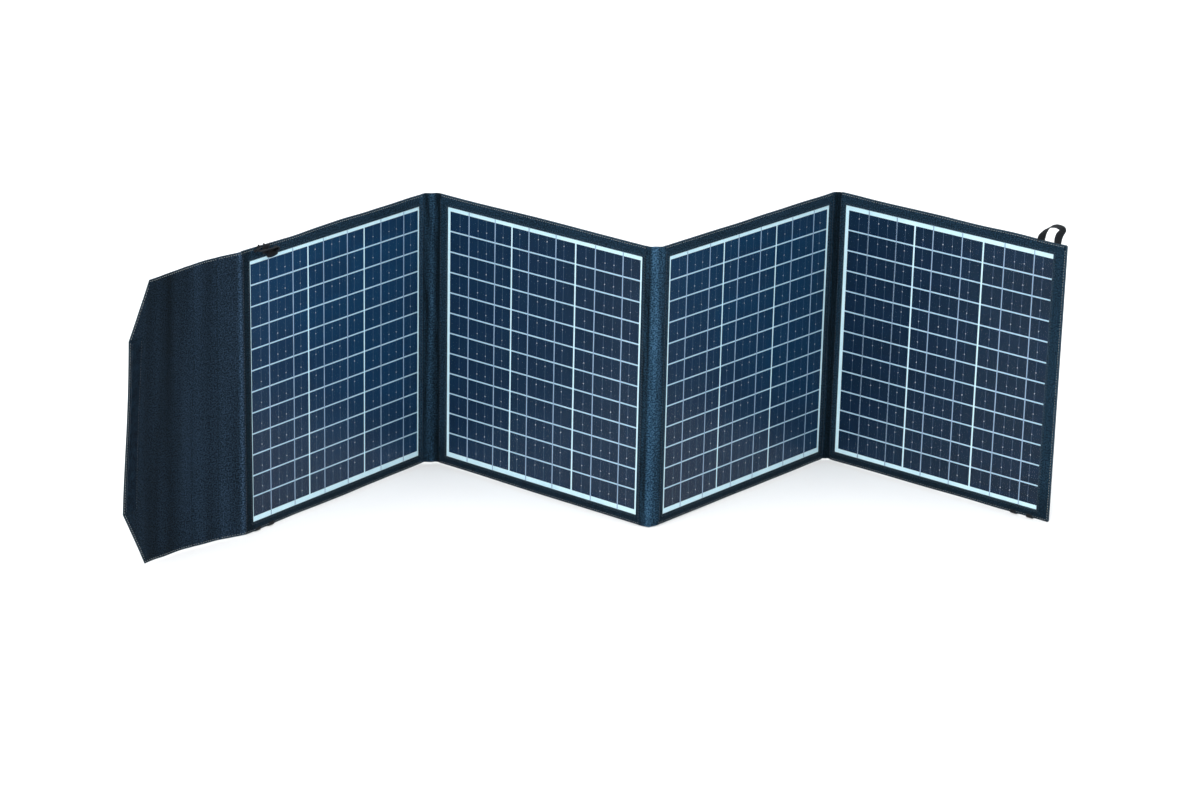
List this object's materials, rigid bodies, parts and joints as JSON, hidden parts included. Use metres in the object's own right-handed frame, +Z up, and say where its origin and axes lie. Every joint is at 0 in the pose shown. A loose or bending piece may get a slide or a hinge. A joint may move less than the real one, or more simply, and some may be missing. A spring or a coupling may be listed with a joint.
{
  "type": "folding solar panel",
  "caption": "Portable solar panel of flat cell panels joined by fabric folds, with a closing flap, corner webbing loops and a back pocket; it folds into a flat stack.",
  "frame": {"origin": "middle of the footprint of the part standing in its zigzag, on the ground", "axes": "+Z up, the cells face -Y, +X from the flap end to the free end"},
  "size_m": [1.1755, 0.4727, 0.4064],
  "materials": {
    "canvas": "woven, matt",
    "board": "matt",
    "backsheet": "satin",
    "cells": "glossy, under film",
    "ribbons": "tinned",
    "film": "clear",
    "webbing": "ribbed webbing",
    "hook_tape": "hook tape",
    "loop_tape": "loop tape",
    "box_plastic": "matt",
    "screws": "plain",
    "circuit_board": "solder mask",
    "socket_plastic": "matt",
    "socket_metal": "plain",
    "indicator": "clear green"
  },
  "bodies": {
    "panel_2": {"back_cover_2": "canvas", "stiffener_2": "board", "backsheet_2": "backsheet", "cells_2": "cells", "ribbons_2": "ribbons", "film_2": "film", "surround_2": "canvas"},
    "fold_1": {"fold_strip_1": "canvas"},
    "panel_1": {"back_cover_1": "canvas", "stiffener_1": "board", "backsheet_1": "backsheet", "cells_1": "cells", "ribbons_1": "ribbons", "film_1": "film", "surround_1": "canvas", "pocket_front": "canvas", "pocket_gusset": "canvas", "box_shell": "box_plastic", "box_lid": "box_plastic", "box_screws": "screws", "circuit_board": "circuit_board", "barrel_socket": "socket_plastic", "wide_socket": "socket_metal", "small_socket": "socket_metal", "indicator": "indicator"},
    "fold_2": {"fold_strip_2": "canvas"},
    "panel_3": {"back_cover_3": "canvas", "stiffener_3": "board", "backsheet_3": "backsheet", "cells_3": "cells", "ribbons_3": "ribbons", "film_3": "film", "surround_3": "canvas"},
    "fold_3": {"fold_strip_3": "canvas"},
    "panel_4": {"back_cover_4": "canvas", "stiffener_4": "board", "backsheet_4": "backsheet", "cells_4": "cells", "ribbons_4": "ribbons", "film_4": "film", "surround_4": "canvas", "loop_strip": "loop_tape"},
    "gusset": {"flap_gusset": "canvas"},
    "flap": {"flap_cover": "canvas", "hook_strip": "hook_tape"},
    "loop_tl": {"web_loop_tl": "webbing"},
    "loop_tr": {"web_loop_tr": "webbing"},
    "loop_bl": {"web_loop_bl": "webbing"},
    "loop_br": {"web_loop_br": "webbing"},
    "pocket_lid": {"pocket_flap": "canvas"}
  },
  "joints": [
    {"name": "fold_1", "type": "hinge", "parent": "panel_2", "child": "fold_1", "pos_m": [-0.2223, 0.1888, 0.1915], "axis": [0, 0, 1], "range_deg": [-45, 45]},
    {"name": "fold_1_outer", "type": "hinge", "parent": "fold_1", "child": "panel_1", "pos_m": [-0.24255, 0.18631, 0.1915], "axis": [0, 0, 1], "range_deg": [-45, 45]},
    {"name": "fold_2", "type": "hinge", "parent": "panel_2", "child": "fold_2", "pos_m": [0.0535, -0.02668, 0.1915], "axis": [0, 0, 1], "range_deg": [-43.2, 46.8]},
    {"name": "fold_2_outer", "type": "hinge", "parent": "fold_2", "child": "panel_3", "pos_m": [0.07083, -0.0251, 0.1915], "axis": [0, 0, 1], "range_deg": [-43.2, 46.8]},
    {"name": "fold_3", "type": "hinge", "parent": "panel_3", "child": "fold_3", "pos_m": [0.30155, 0.23475, 0.1915], "axis": [0, 0, -1], "range_deg": [-43.3, 46.7]},
    {"name": "fold_3_outer", "type": "hinge", "parent": "fold_3", "child": "panel_4", "pos_m": [0.30892, 0.23541, 0.1915], "axis": [0, 0, -1], "range_deg": [-43.3, 46.7]},
    {"name": "gusset_root", "type": "hinge", "parent": "panel_1", "child": "gusset", "pos_m": [-0.46296, -0.09579, 0.1915], "axis": [0, 0, 1], "range_deg": [-10.3, 114.7]},
    {"name": "flap_root", "type": "hinge", "parent": "gusset", "child": "flap", "pos_m": [-0.50836, -0.11923, 0.1915], "axis": [0, 0, 1], "range_deg": [-38.8, 61.2]},
    {"name": "loop_tl_swing", "type": "hinge", "parent": "panel_1", "child": "loop_tl", "pos_m": [-0.42888, -0.0577, 0.3795], "axis": [-0.6157, -0.788, 0], "range_deg": [-10, 155]},
    {"name": "loop_tr_swing", "type": "hinge", "parent": "panel_4", "child": "loop_tr", "pos_m": [0.56432, 0.03443, 0.3824], "axis": [-0.7859, 0.6184, 0], "range_deg": [-95, 75]},
    {"name": "loop_bl_swing", "type": "hinge", "parent": "panel_1", "child": "loop_bl", "pos_m": [-0.43402, -0.05876, 0.0006], "axis": [-0.6157, -0.788, 0], "range_deg": [-5, 150]},
    {"name": "loop_br_swing", "type": "hinge", "parent": "panel_4", "child": "loop_br", "pos_m": [0.55371, 0.04278, 0.0006], "axis": [-0.7859, 0.6184, 0], "range_deg": [-5, 150]},
    {"name": "pocket_lid", "type": "hinge", "parent": "panel_1", "child": "pocket_lid", "pos_m": [-0.35185, 0.05217, 0.2361], "axis": [0.6157, 0.788, 0], "range_deg": [0, 88]}
  ],
  "couplings": [
    {"joint": "fold_1_outer", "follows": "fold_1", "ratio": 1},
    {"joint": "fold_2_outer", "follows": "fold_2", "ratio": 1},
    {"joint": "fold_3_outer", "follows": "fold_3", "ratio": 1}
  ]
}
